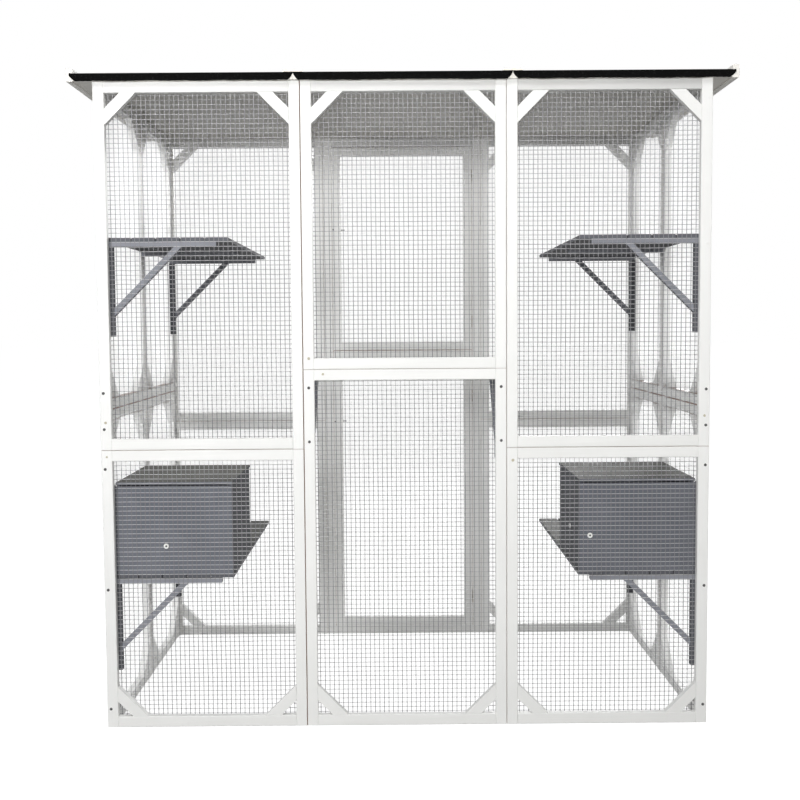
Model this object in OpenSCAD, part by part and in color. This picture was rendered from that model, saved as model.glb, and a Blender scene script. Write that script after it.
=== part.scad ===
// Walk-in cat enclosure: panelled timber walls with welded mesh, a felted roof,
// two stacked doors in the far wall, five slatted shelves and two hideaway boxes.
// X runs along the near and far walls, Y from the near wall to the far wall, Z up.
// The origin is on the ground in the middle of the plan.

/* [Enclosure] */
// Width over the side walls
body_w = 1668; // [1500:1:1900]
// Depth over the near and far walls
body_d = 956; // [880:1:1150]
// Height of the walls
body_h = 1770; // [1700:1:2000]
// Width of the middle column of panels
middle_w = 556; // [500:1:620]
// Height of the panel joint in the outer columns
outer_split = 775; // [720:1:830]
// Height of the panel joint in the middle columns
middle_split = 993; // [950:1:1050]
// Height of the panel joint in the side walls
side_split = 885; // [850:1:950]

/* [Timber] */
// Face width of a stile or rail
timber_w = 30; // [29:1:36]
// Thickness of a panel frame
timber_t = 20; // [16:1:24]
// Chamfer along the long edges
edge_chamfer = 1.5; // [0.5:0.5:2.5]
// Open leg of the small triangle behind a corner brace
brace_leg = 42; // [30:1:60]
// Width of a corner brace
brace_w = 30; // [20:1:36]
// Joint line left between members of a frame
seam = 0.2; // [0.1:0.1:0.5]
// Gap between neighbouring panels
joint_gap = 0.7; // [0.2:0.1:1]

/* [Netting] */
// Centre distance of the wires
mesh_pitch = 12.7; // [10:0.1:20]
// Wire diameter
wire_d = 0.9; // [0.7:0.1:1.4]
// Every how many wires one is drawn
drawn_every = 5; // [5:1:8]
// Gap at the crossings of the wires
weld_gap = 0.02; // [0.01:0.01:0.05]
// Distance kept from the corner of two walls
net_clear = 2; // [1:0.5:3]

/* [Doors] */
// Gap between a door and its surround
door_gap = 1.5; // [1.2:0.1:2.5]
// How far a door hangs below the middle of its opening
door_drop = 1; // [0:0.1:1]
// Distance of a hinge centre from the end of its door
hinge_inset = 100; // [70:1:160]
// Height of a hinge
hinge_l = 48; // [40:1:70]
// Reach of a hinge leaf over the timber
leaf_w = 21; // [16:1:24]
// Thickness of a hinge leaf
leaf_t = 1.2; // [1:0.1:1.6]
// Outer diameter of a hinge knuckle
knuckle_d = 5.6; // [5:0.1:7]
// Diameter of a hinge pin
pin_d = 2.6; // [2:0.1:3]
// Radial running clearance of pins and bolts
run_clear = 0.05; // [0.02:0.01:0.08]
// Height of the latch on the upper door
upper_latch_z = 1451; // [1250:1:1600]
// Height of the latch on the lower door
lower_latch_z = 770; // [500:1:850]
// Travel of a latch bolt
bolt_travel = 14; // [12:1:14]
// Diameter of a latch bolt
bolt_d = 6; // [5:0.1:6.5]
// Length of a latch bolt
bolt_l = 40; // [40:1:44]
// Length of a latch plate
latch_l = 28; // [27:0.5:28]
// Height of the latch and keeper plates
latch_h = 24; // [16:1:32]
// Radial play of a bolt in its keeper
keeper_play = 0.4; // [0.3:0.1:0.8]

/* [Shelves] */
// Slats in a shelf
slat_count = 5; // [4:1:6]
// Width of a slat
slat_w = 63; // [55:1:70]
// Gap between slats
slat_gap = 4; // [2:0.5:8]
// Thickness of a slat
slat_t = 10; // [8:1:15]
// Distance the ends of the slats lie behind the outer cross beams
slat_recess = 5; // [2:1:8]
// Width of a cross beam and of a bracket
beam_w = 20; // [18:1:30]
// Depth of a cross beam under the slats
beam_h = 13; // [10:1:20]
// Distance the cross beams stop short of the free edge
beam_setback = 33; // [10:1:60]
// Distance from the side shelves to the far wall
shelf_far_gap = 48; // [10:1:120]
// Top of the upper side shelves
upper_shelf_z = 1355; // [1250:1:1500]
// Top of the lower side shelves
lower_shelf_z = 424; // [380:1:480]
// Top of the centre shelf
centre_shelf_z = 1000; // [940:1:1040]
// Place of the centre shelf to the right of the middle
centre_shelf_x = -1.5; // [-3:0.5:3]
// Length of a bracket's batten
batten_l = 245; // [220:1:300]
// Length of a batten under the centre shelf
centre_batten_l = 232; // [220:1:300]
// Depth of a bracket's batten off its wall
batten_t = 17; // [14:1:30]
// Reach of a bracket's strut past the batten
strut_reach = 190; // [140:1:200]
// Width of a strut
strut_w = 15; // [12:1:26]

/* [Hideaways] */
// Length of a box along its shelf
house_l = 375; // [300:1:420]
// Width of a box
house_w = 320; // [270:1:322]
// Height of the box walls
house_h = 252; // [220:1:290]
// Thickness of the box boards
house_t = 9; // [6:1:12]
// Thickness of a box roof
house_roof_t = 7; // [5:1:12]
// Slit between the near board of a box and its roof
house_slit = 4; // [2:0.5:6]
// Gap between a box and the side wall
house_off = 12; // [8:1:20]
// Overhang of a box roof
house_over = 2; // [1:1:9]
// Width of the arched entry
entry_w = 150; // [120:1:200]
// Height of the arched entry
entry_h = 195; // [170:1:210]
// Height of the sill under the entry
entry_sill = 12; // [6:1:25]

/* [Roof] */
// Roof overhang past the side walls
roof_side = 67.5; // [40:0.5:100]
// Roof overhang past the near and far walls
roof_end = 12; // [12:1:40]
// Thickness of a roof board
roof_t = 18; // [12:1:24]
// Thickness of the felt
felt_t = 2; // [1:0.5:4]
// Height of the felt flap on the roof edge
flap_h = 21; // [21:1:30]
// Slope of the folded flap corners, measured along the bottom edge
flap_fold = 10; // [4:1:20]
// Thickness of a side trim
trim_t = 18; // [12:1:24]
// Height of a side trim
trim_h = 35; // [30:1:45]
// Distance a side trim hangs below the roof boards
trim_drop = 2; // [0:1:6]
// Width of a cover strip
strip_w = 52; // [30:1:70]
// Thickness of a cover strip
strip_t = 6; // [4:1:10]

/* [Fasteners] */
// Diameter of a wall screw head
head_d = 8; // [6:0.5:9]
// Height of a wall screw head
head_h = 1.2; // [0.8:0.1:2]
// Distance of a wall screw from the end of its panel
screw_end = 52; // [40:1:70]
// Distance of the upper bracket screw below the centre shelf's beam
bracket_screw = 34; // [20:1:60]
// Distance between the two screws of a bracket
bracket_screw_gap = 148; // [100:1:160]
// Diameter of a cup washer on a hideaway
cup_d = 15; // [11:1:18]
// Height of a cup washer
cup_h = 3; // [2:0.5:4]
// Diameter of the screw in a cup washer
cup_screw_d = 4; // [3:0.5:5]
// Width of the sloping rim of a cup washer
cup_rim = 2; // [1:0.5:3]
// Distance of the left box's cup from the outer face of the left wall
cup_left_in = 169; // [164:1:184]
// Height of the left box's cup above its shelf
cup_left_up = 81; // [60:1:120]
// Distance of the right box's cup from the outer face of the right wall
cup_right_in = 323; // [300:1:332]
// Height of the right box's cup above its shelf
cup_right_up = 102; // [70:1:120]
// Distance of the side cup from the outer face of the near wall
cup_side_in = 186; // [100:1:240]
// Height of the side cup above its shelf
cup_side_up = 100; // [60:1:160]

/* [Hidden] */
$fn = 32;

paint_white = [0.93, 0.94, 0.95];
paint_slate = [0.42, 0.44, 0.48];
felt_black = [0.06, 0.06, 0.07];
zinc = [0.70, 0.71, 0.72];

half_joint = joint_gap / 2;
outer_w = (body_w - middle_w) / 2 - half_joint;
inner_w = middle_w - joint_gap;
inner_x = -inner_w / 2;
right_x = middle_w / 2 + half_joint;
outer_foot = outer_split + half_joint;
middle_foot = middle_split + half_joint;
side_run = body_d / 2 - timber_t;
net_t = 2 * wire_d + weld_gap;
net_lap = timber_w - timber_t - net_clear;
drawn_pitch = mesh_pitch * drawn_every;
far_face = body_d / 2;
wall_clear = net_t + seam;

// A panel is [wall, start along the wall, foot, width, height, braced at top, braced at foot].
near_upper_left = ["near", -body_w / 2, outer_foot, outer_w, body_h - outer_foot, true, false];
near_upper_middle = ["near", inner_x, middle_foot, inner_w, body_h - middle_foot, true, false];
near_upper_right = ["near", right_x, outer_foot, outer_w, body_h - outer_foot, true, false];
near_lower_left = ["near", -body_w / 2, 0, outer_w, outer_split - half_joint, false, true];
near_lower_middle = ["near", inner_x, 0, inner_w, middle_split - half_joint, false, true];
near_lower_right = ["near", right_x, 0, outer_w, outer_split - half_joint, false, true];
far_upper_left = ["far", -body_w / 2, outer_foot, outer_w, body_h - outer_foot, true, false];
far_upper_right = ["far", right_x, outer_foot, outer_w, body_h - outer_foot, true, false];
far_lower_left = ["far", -body_w / 2, 0, outer_w, outer_split - half_joint, false, true];
far_lower_right = ["far", right_x, 0, outer_w, outer_split - half_joint, false, true];
upper_surround = ["far", inner_x, middle_foot, inner_w, body_h - middle_foot, false, false];
lower_surround = ["far", inner_x, 0, inner_w, middle_split - half_joint, false, false];
upper_door = door_in(upper_surround);
lower_door = door_in(lower_surround);

near_panels = [near_upper_left, near_upper_middle, near_upper_right,
    near_lower_left, near_lower_middle, near_lower_right];
far_panels = [far_upper_left, far_upper_right, far_lower_left, far_lower_right];

door_edge = inner_w / 2 - timber_w - door_gap;
hinge_x = door_edge + door_gap / 2;
hinge_lift = knuckle_d / 2 + 0.5;
hinge_y = far_face + hinge_lift;
knuckle_count = 3;
knuckle_seam = 0.3;
knuckle_l = (hinge_l - (knuckle_count - 1) * knuckle_seam) / knuckle_count;
upper_hinges = hinge_heights(upper_door);
lower_hinges = hinge_heights(lower_door);

latch_inset = 1;
latch_start = latch_inset - door_edge;
strap_l = 4;
strap_wall = 1.7;
bolt_lift = leaf_t + bolt_d / 2 + 1;
bolt_tip = 1.5;
knob_d = 4;
knob_h = 6.5;
knob_clear = 0.75;
keeper_start = latch_start + bolt_tip - bolt_travel;
keeper_grip = 2;
keeper_l = strap_l + keeper_grip;
keeper_flange = 4;
keeper_lip = 2;

shelf_l = 2 * side_run - shelf_far_gap - wall_clear;
shelf_w = slat_count * slat_w + (slat_count - 1) * slat_gap;
shelf_play = 1.2;
shelf_off = net_t + shelf_play;
strut_span = strut_w * sqrt(2);
bracket_hide = 1;
centre_shelf_l = middle_w - 2 * timber_w + 2 * (beam_w + bracket_hide);
beam_z = slat_t + seam + beam_h;

roof_w = body_w + 2 * roof_side;
roof_d = body_d + 2 * roof_end;
roof_panel = (roof_w - 2 * trim_t) / 3;
felt_top = roof_t + felt_t;
felt_tip = trim_t / 2;

screw_rows = [
    screw_end,
    outer_split / 2,
    outer_split - screw_end,
    side_split - screw_end,
    side_split + screw_end,
    (side_split + body_h) / 2,
    body_h - screw_end
];

function door_in(surround) = [surround[0],
    surround[1] + timber_w + door_gap,
    surround[2] + timber_w + door_gap - door_drop,
    surround[3] - 2 * (timber_w + door_gap),
    surround[4] - 2 * (timber_w + door_gap), false, false];
function side_panel(wall, far, upper) = [wall,
    far ? half_joint : -side_run,
    upper ? side_split + half_joint : 0,
    side_run - half_joint,
    (upper ? body_h - side_split : side_split) - half_joint, true, true];
function hinge_heights(door) = [door[2] + hinge_inset, door[2] + door[4] - hinge_inset];

// Stands a wall up: x runs along the wall, y inwards from its outer face.
module on_wall(wall) {
    if (wall == "near") translate([0, -body_d / 2, 0]) children();
    if (wall == "far") translate([0, body_d / 2, 0]) mirror([0, 1, 0]) children();
    if (wall == "left") translate([-body_w / 2, 0, 0]) mirror([1, -1, 0]) children();
    if (wall == "right") translate([body_w / 2, 0, 0]) rotate([0, 0, 90]) children();
}

// Length of planed timber along z, with its long edges eased.
module timber(length, width, thickness) {
    c = edge_chamfer;
    linear_extrude(length) polygon([
        [c, 0], [width - c, 0], [width, c], [width, thickness - c],
        [width - c, thickness], [c, thickness], [0, thickness - c], [0, c]
    ]);
}

// Brace across the corner at the origin, lying between +x and +z.
module brace() {
    inner = brace_leg;
    outer = brace_leg + brace_w * sqrt(2);
    rotate([90, 0, 0]) translate([0, 0, -timber_t])
        linear_extrude(timber_t) polygon([
            [inner, seam], [outer, seam], [seam, outer], [seam, inner]
        ]);
}

module frame_of(panel) {
    w = panel[3];
    h = panel[4];
    rail_l = w - 2 * (timber_w + seam);
    on_wall(panel[0]) translate([panel[1], 0, panel[2]]) {
        timber(h, timber_w, timber_t);
        translate([w - timber_w, 0, 0]) timber(h, timber_w, timber_t);
        for (z = [0, h - timber_w])
            translate([timber_w + seam, 0, z + timber_w]) rotate([0, 90, 0])
                timber(rail_l, timber_w, timber_t);
        for (x = [0, 1]) translate([x * w, 0, 0]) mirror([x, 0, 0]) {
            if (panel[6]) translate([timber_w, 0, timber_w]) brace();
            if (panel[5]) translate([timber_w, 0, h - timber_w]) mirror([0, 0, 1]) brace();
        }
    }
}

// Welded mesh: upright wires against the frame and cross wires behind them.
module net_sheet(w, h) {
    nx = floor(w / drawn_pitch);
    nz = floor(h / drawn_pitch);
    for (i = [0 : nx]) translate([i * (w - wire_d) / nx, 0, 0])
        cube([wire_d, wire_d, h]);
    for (j = [0 : nz]) translate([0, wire_d + weld_gap, j * (h - wire_d) / nz])
        cube([w, wire_d, wire_d]);
}

module net_of(panel) {
    inset = timber_w - net_lap;
    on_wall(panel[0]) translate([panel[1] + inset, timber_t, panel[2] + inset])
        net_sheet(panel[3] - 2 * inset, panel[4] - 2 * inset);
}

module white_frame(panel) {
    color(paint_white) frame_of(panel);
}

module nets(panels) {
    color(zinc) for (panel = panels) net_of(panel);
}

module near_upper_left_frame() { white_frame(near_upper_left); }
module near_upper_middle_frame() { white_frame(near_upper_middle); }
module near_upper_right_frame() { white_frame(near_upper_right); }
module near_lower_left_frame() { white_frame(near_lower_left); }
module near_lower_middle_frame() { white_frame(near_lower_middle); }
module near_lower_right_frame() { white_frame(near_lower_right); }
module far_upper_left_frame() { white_frame(far_upper_left); }
module far_upper_right_frame() { white_frame(far_upper_right); }
module far_lower_left_frame() { white_frame(far_lower_left); }
module far_lower_right_frame() { white_frame(far_lower_right); }
module upper_door_surround() { white_frame(upper_surround); }
module lower_door_surround() { white_frame(lower_surround); }
module upper_door_frame() { white_frame(upper_door); }
module lower_door_frame() { white_frame(lower_door); }
module left_upper_near_frame() { white_frame(side_panel("left", false, true)); }
module left_upper_far_frame() { white_frame(side_panel("left", true, true)); }
module left_lower_near_frame() { white_frame(side_panel("left", false, false)); }
module left_lower_far_frame() { white_frame(side_panel("left", true, false)); }
module right_upper_near_frame() { white_frame(side_panel("right", false, true)); }
module right_upper_far_frame() { white_frame(side_panel("right", true, true)); }
module right_lower_near_frame() { white_frame(side_panel("right", false, false)); }
module right_lower_far_frame() { white_frame(side_panel("right", true, false)); }

module near_nets() { nets(near_panels); }
module far_nets() { nets(far_panels); }
module left_nets() { nets(side_panels("left")); }
module right_nets() { nets(side_panels("right")); }
module upper_door_net() { nets([upper_door]); }
module lower_door_net() { nets([lower_door]); }
function side_panels(wall) =
    [for (far = [false, true]) for (upper = [false, true]) side_panel(wall, far, upper)];

// Roof: index -1, 0 or 1 counts the boards from left to right.
module roof_board(index) {
    color(paint_white)
        translate([(index - 0.5) * roof_panel + seam, -roof_d / 2 + felt_t, body_h])
            cube([roof_panel - 2 * seam, roof_d - 2 * felt_t, roof_t]);
}

// Felt over a board, wrapped down both ends with its corners folded away.
module roof_felt(index) {
    left_tip = index == -1 ? felt_tip : -seam;
    right_tip = index == 1 ? felt_tip : -seam;
    x0 = (index - 0.5) * roof_panel;
    x1 = x0 + roof_panel;
    color(felt_black) translate([0, 0, body_h]) {
        translate([x0 + seam, -roof_d / 2, roof_t])
            cube([roof_panel - 2 * seam, roof_d, felt_t]);
        for (end = [0, 1]) mirror([0, end, 0]) translate([0, -roof_d / 2 + felt_t, 0])
            rotate([90, 0, 0]) linear_extrude(felt_t) polygon([
                [x0 - left_tip, felt_top], [x1 + right_tip, felt_top],
                [x1 - flap_fold, felt_top - flap_h], [x0 + flap_fold, felt_top - flap_h]
            ]);
    }
}

module roof_board_left() { roof_board(-1); }
module roof_board_middle() { roof_board(0); }
module roof_board_right() { roof_board(1); }
module roof_felt_left() { roof_felt(-1); }
module roof_felt_middle() { roof_felt(0); }
module roof_felt_right() { roof_felt(1); }

module roof_cover_strips() {
    color(paint_white) for (side = [-1, 1])
        translate([side * roof_panel / 2 - strip_w / 2, roof_d / 2, body_h + felt_top])
            rotate([90, 0, 0]) linear_extrude(roof_d) polygon([
                [0, 0], [strip_w, 0], [strip_w, strip_t - edge_chamfer],
                [strip_w - edge_chamfer, strip_t], [edge_chamfer, strip_t],
                [0, strip_t - edge_chamfer]
            ]);
}

module roof_trim() {
    translate([roof_w / 2 - trim_t, roof_d / 2 - felt_t, body_h - trim_drop])
        rotate([90, 0, 0]) linear_extrude(roof_d - 2 * felt_t) polygon([
            [0, 0], [trim_t - edge_chamfer, 0], [trim_t, edge_chamfer],
            [trim_t, trim_h - edge_chamfer], [trim_t - edge_chamfer, trim_h],
            [edge_chamfer, trim_h], [0, trim_h - edge_chamfer]
        ]);
}

module roof_trim_left() { color(paint_white) mirror([1, 0, 0]) roof_trim(); }
module roof_trim_right() { color(paint_white) roof_trim(); }

// Puts a shelf's own frame in place: x along the wall, y off the wall, z = 0 at the top.
module at_shelf(wall, z) {
    along = wall == "near" ? centre_shelf_x - centre_shelf_l / 2 : -side_run + wall_clear;
    on_wall(wall) translate([along, timber_t, z]) children();
}

module shelf(wall, z, length) {
    color(paint_slate) at_shelf(wall, z) {
        for (k = [0 : slat_count - 1])
            translate([slat_recess, shelf_off + k * (slat_w + slat_gap), -slat_t])
                rotate([90, 0, 90]) slat(length - 2 * slat_recess);
        for (x = [0, (length - beam_w) / 2, length - beam_w])
            translate([x, shelf_off, -beam_z])
                cube([beam_w, shelf_w - beam_setback, beam_h]);
    }
}

// Slat with only its upper long edges eased.
module slat(length) {
    c = edge_chamfer;
    linear_extrude(length) polygon([
        [0, 0], [slat_w, 0], [slat_w, slat_t - c],
        [slat_w - c, slat_t], [c, slat_t], [0, slat_t - c]
    ]);
}

// Batten on the wall and a strut at 45 degrees, both as wide as the beam above.
module bracket(batten) {
    top = -beam_z - seam;
    reach = wall_clear + batten_t + seam;
    translate([0, wall_clear, top - batten]) cube([beam_w, batten_t, batten]);
    rotate([90, 0, 90]) linear_extrude(beam_w) polygon([
        [reach, top - strut_reach], [reach + strut_reach, top],
        [reach + strut_reach - strut_span, top], [reach, top - strut_reach + strut_span]
    ]);
}

module brackets(wall, z, length, batten) {
    color(paint_slate) at_shelf(wall, z)
        for (x = [0, length - beam_w]) translate([x, 0, 0]) bracket(batten);
}

module shelf_upper_left() { shelf("left", upper_shelf_z, shelf_l); }
module shelf_upper_right() { shelf("right", upper_shelf_z, shelf_l); }
module shelf_lower_left() { shelf("left", lower_shelf_z, shelf_l); }
module shelf_lower_right() { shelf("right", lower_shelf_z, shelf_l); }
module shelf_centre() { shelf("near", centre_shelf_z, centre_shelf_l); }
module upper_shelf_brackets() {
    for (wall = ["left", "right"]) brackets(wall, upper_shelf_z, shelf_l, batten_l);
}
module lower_shelf_brackets() {
    for (wall = ["left", "right"]) brackets(wall, lower_shelf_z, shelf_l, batten_l);
}
module centre_shelf_brackets() {
    brackets("near", centre_shelf_z, centre_shelf_l, centre_batten_l);
}

// Board standing on z = 0, with the arched entry cut through it.
module entry_board() {
    r = entry_w / 2;
    rotate([90, 0, 90]) linear_extrude(house_t) difference() {
        translate([house_off, 0]) square([house_w, house_h]);
        translate([house_off + house_w / 2, entry_sill]) {
            translate([-r, 0]) square([entry_w, entry_h - entry_sill - r]);
            translate([0, entry_h - entry_sill - r]) circle(r = r, $fn = 64);
        }
    }
}

module hideaway_walls(wall) {
    color(paint_slate) at_shelf(wall, lower_shelf_z) translate([0, 0, seam]) {
        translate([seam, house_off, 0]) cube([house_t, house_w, house_h - house_slit]);
        for (y = [0, house_w - house_t])
            translate([house_t + 2 * seam, house_off + y, 0])
                cube([house_l - 2 * house_t - 2 * seam, house_t, house_h]);
        translate([house_l - house_t + seam, 0, 0]) entry_board();
    }
}

module hideaway_roof(wall) {
    color(paint_slate) at_shelf(wall, lower_shelf_z)
        translate([seam, house_off, house_h + 2 * seam])
            cube([house_l + house_over, house_w + house_over, house_roof_t]);
}

module hideaway_left_walls() { hideaway_walls("left"); }
module hideaway_right_walls() { hideaway_walls("right"); }
module hideaway_left_roof() { hideaway_roof("left"); }
module hideaway_right_roof() { hideaway_roof("right"); }

// White cup washer with its screw, standing on z = 0 with the screw reaching to -depth.
module cup(depth) {
    cylinder(d1 = cup_d, d2 = cup_d - 2 * cup_rim, h = cup_h);
    translate([0, 0, -depth]) cylinder(d = cup_screw_d, h = depth + cup_h / 2);
}

module hideaway_screw_cups() {
    color(paint_white) {
        on_wall("near") for (place = [
            [-body_w / 2 + cup_left_in, cup_left_up],
            [body_w / 2 - cup_right_in, cup_right_up]
        ])
            translate([place[0], timber_t - seam, lower_shelf_z + place[1]])
                rotate([90, 0, 0]) cup(net_t + seam);
        translate([
            body_w / 2 - timber_t - house_off - house_w,
            -body_d / 2 + cup_side_in,
            lower_shelf_z + cup_side_up
        ]) rotate([0, -90, 0]) cup(0);
    }
}

// Leaf of a hinge centred at height z: side 1 lies on the surround, side -1 on the door.
module hinge_leaf(z, side) {
    edge = knuckle_d / 2 + 0.3;
    first = side == 1 ? 0 : 1;
    pitch = knuckle_l + knuckle_seam;
    color(zinc) translate([hinge_x, far_face, z - hinge_l / 2]) difference() {
        union() {
            translate([side == 1 ? edge : -edge - leaf_w, 0, 0]) cube([leaf_w, leaf_t, hinge_l]);
            for (k = [first : 2 : knuckle_count - 1]) translate([0, 0, k * pitch]) {
                translate([0, hinge_lift, 0]) cylinder(d = knuckle_d, h = knuckle_l);
                translate([side == 1 ? 0 : -edge - 1, 0, 0]) cube([edge + 1, leaf_t, knuckle_l]);
            }
        }
        translate([0, hinge_lift, -1]) cylinder(d = pin_d + 2 * run_clear, h = hinge_l + 2);
    }
}

module hinge_frame_leaves() {
    for (z = concat(upper_hinges, lower_hinges)) hinge_leaf(z, 1);
}
module upper_door_hinge_leaves() { for (z = upper_hinges) hinge_leaf(z, -1); }
module lower_door_hinge_leaves() { for (z = lower_hinges) hinge_leaf(z, -1); }

module hinge_pins() {
    color(zinc) for (z = concat(upper_hinges, lower_hinges))
        translate([hinge_x, hinge_y, z - hinge_l / 2]) cylinder(d = pin_d, h = hinge_l);
}

// Plate with two bored straps on the free stile of a door.
module latch_housing(z) {
    strap_r = bolt_d / 2 + strap_wall;
    color(zinc) translate([latch_start, far_face, z]) difference() {
        union() {
            translate([0, 0, -latch_h / 2]) cube([latch_l, leaf_t, latch_h]);
            for (x = [0, latch_l - strap_l]) translate([x, 0, 0]) {
                translate([0, 0, -strap_r]) cube([strap_l, bolt_lift, 2 * strap_r]);
                translate([0, bolt_lift, 0]) rotate([0, 90, 0]) cylinder(r = strap_r, h = strap_l);
            }
        }
        translate([-1, bolt_lift, 0]) rotate([0, 90, 0])
            cylinder(d = bolt_d + 2 * run_clear, h = latch_l + 2);
    }
}

// Round bolt with its knob, drawn back clear of the keeper.
module latch_bolt(z) {
    color(zinc) translate([latch_start, far_face + bolt_lift, z]) {
        translate([bolt_tip, 0, 0]) rotate([0, 90, 0]) cylinder(d = bolt_d, h = bolt_l);
        translate([latch_l - strap_l - knob_clear - knob_d / 2, 0, 0]) rotate([-90, 0, 0])
            cylinder(d = knob_d, h = knob_h);
    }
}

// Plate and slotted block on the surround that take the thrown bolt.
module latch_keeper(z) {
    slot = bolt_d + 2 * keeper_play;
    block = slot + 2 * strap_wall;
    color(zinc) translate([keeper_start, far_face, z]) difference() {
        union() {
            translate([-keeper_flange, 0, -latch_h / 2])
                cube([keeper_flange + keeper_l + keeper_lip, leaf_t, latch_h]);
            translate([0, 0, -block / 2]) cube([keeper_l, bolt_lift + block / 2, block]);
        }
        translate([-1, bolt_lift - slot / 2, -slot / 2]) cube([keeper_l + 2, slot, slot]);
    }
}

module upper_latch_housing() { latch_housing(upper_latch_z); }
module lower_latch_housing() { latch_housing(lower_latch_z); }
module upper_latch_bolt() { latch_bolt(upper_latch_z); }
module lower_latch_bolt() { latch_bolt(lower_latch_z); }
module latch_keepers() { for (z = [upper_latch_z, lower_latch_z]) latch_keeper(z); }

// Low screw head with few sides, because there are many of them.
module screw_head() {
    rotate([90, 0, 0]) cylinder(d = head_d, h = head_h, $fn = 12);
}

module wall_screws() {
    color(zinc) {
        for (wall = ["near", "far"]) on_wall(wall) for (side = [-1, 1]) for (z = screw_rows)
            translate([side * (body_w - timber_t) / 2, 0, z]) screw_head();
        on_wall("near") for (side = [-1, 1]) for (drop = [0, bracket_screw_gap])
            translate([
                side * (middle_w - timber_w) / 2, 0,
                centre_shelf_z - beam_z - bracket_screw - drop
            ]) screw_head();
    }
}

near_upper_left_frame();
near_upper_middle_frame();
near_upper_right_frame();
near_lower_left_frame();
near_lower_middle_frame();
near_lower_right_frame();
far_upper_left_frame();
far_upper_right_frame();
far_lower_left_frame();
far_lower_right_frame();
upper_door_surround();
lower_door_surround();
upper_door_frame();
lower_door_frame();
left_upper_near_frame();
left_upper_far_frame();
left_lower_near_frame();
left_lower_far_frame();
right_upper_near_frame();
right_upper_far_frame();
right_lower_near_frame();
right_lower_far_frame();
near_nets();
far_nets();
left_nets();
right_nets();
upper_door_net();
lower_door_net();
roof_board_left();
roof_board_middle();
roof_board_right();
roof_felt_left();
roof_felt_middle();
roof_felt_right();
roof_cover_strips();
roof_trim_left();
roof_trim_right();
shelf_upper_left();
shelf_upper_right();
shelf_lower_left();
shelf_lower_right();
shelf_centre();
upper_shelf_brackets();
lower_shelf_brackets();
centre_shelf_brackets();
hideaway_left_walls();
hideaway_right_walls();
hideaway_left_roof();
hideaway_right_roof();
hideaway_screw_cups();
hinge_frame_leaves();
upper_door_hinge_leaves();
lower_door_hinge_leaves();
hinge_pins();
upper_latch_housing();
lower_latch_housing();
upper_latch_bolt();
lower_latch_bolt();
latch_keepers();
wall_screws();
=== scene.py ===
import math
import random
from collections import namedtuple

import bpy
from mathutils import Matrix, Vector, noise


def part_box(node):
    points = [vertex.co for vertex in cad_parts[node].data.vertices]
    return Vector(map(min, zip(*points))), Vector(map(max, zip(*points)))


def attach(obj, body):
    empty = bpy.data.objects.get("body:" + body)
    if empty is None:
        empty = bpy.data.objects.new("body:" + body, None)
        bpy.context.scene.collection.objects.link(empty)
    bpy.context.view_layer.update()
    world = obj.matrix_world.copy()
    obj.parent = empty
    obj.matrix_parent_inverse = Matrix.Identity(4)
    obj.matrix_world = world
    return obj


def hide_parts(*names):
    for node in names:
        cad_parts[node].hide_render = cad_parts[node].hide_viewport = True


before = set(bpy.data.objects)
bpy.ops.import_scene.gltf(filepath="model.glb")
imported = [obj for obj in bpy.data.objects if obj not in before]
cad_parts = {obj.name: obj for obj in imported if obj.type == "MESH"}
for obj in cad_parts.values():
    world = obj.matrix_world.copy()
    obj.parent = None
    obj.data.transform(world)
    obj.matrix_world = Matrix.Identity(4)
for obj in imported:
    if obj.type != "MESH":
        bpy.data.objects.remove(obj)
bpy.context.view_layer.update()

# Vector noise is different at each run unless it is seeded too
SEED = 7
rng = random.Random(SEED)
noise.seed_set(SEED)


# Sizes in millimetres

MM = 0.001
BODY_W, BODY_D, BODY_H = 1668.0, 956.0, 1770.0
NEAR_Y, FAR_Y = -BODY_D / 2, BODY_D / 2
TIMBER_W, TIMBER_T = 30.0, 20.0
SIDE_END = BODY_D / 2 - TIMBER_T
OUTER_STILE = BODY_W / 2 - TIMBER_W
COLUMN_X = BODY_W / 6
OUTER_SPLIT, MIDDLE_SPLIT, SIDE_SPLIT = 775.0, 993.0, 885.0
DOOR_GAP_X = 246.9
LOWER_DOOR_TOP, UPPER_DOOR_FOOT, UPPER_DOOR_TOP = 961.4, 1023.6, 1738.7
HINGE_ROWS = (1638, 1124, 860, 130)
LOW_SLATS, HIGH_SLATS = (414.0, 424.2), (1345.0, 1355.2)
MESH_PITCH, NET_LAP = 12.7, 8.0
ROOF_PANEL, ROOF_T = 589.0, 20.0
ROOF_END = BODY_D / 2 + 12.0


# Node trees

def srgb(r, g, b):
    """Linear colour from 0-255 screen values."""
    def lin(c):
        c /= 255
        return c / 12.92 if c <= 0.04045 else ((c + 0.055) / 1.055) ** 2.4
    return (lin(r), lin(g), lin(b), 1)


def grey(v):
    return (v, v, v, 1)


BLACK = grey(0.0)


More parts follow.
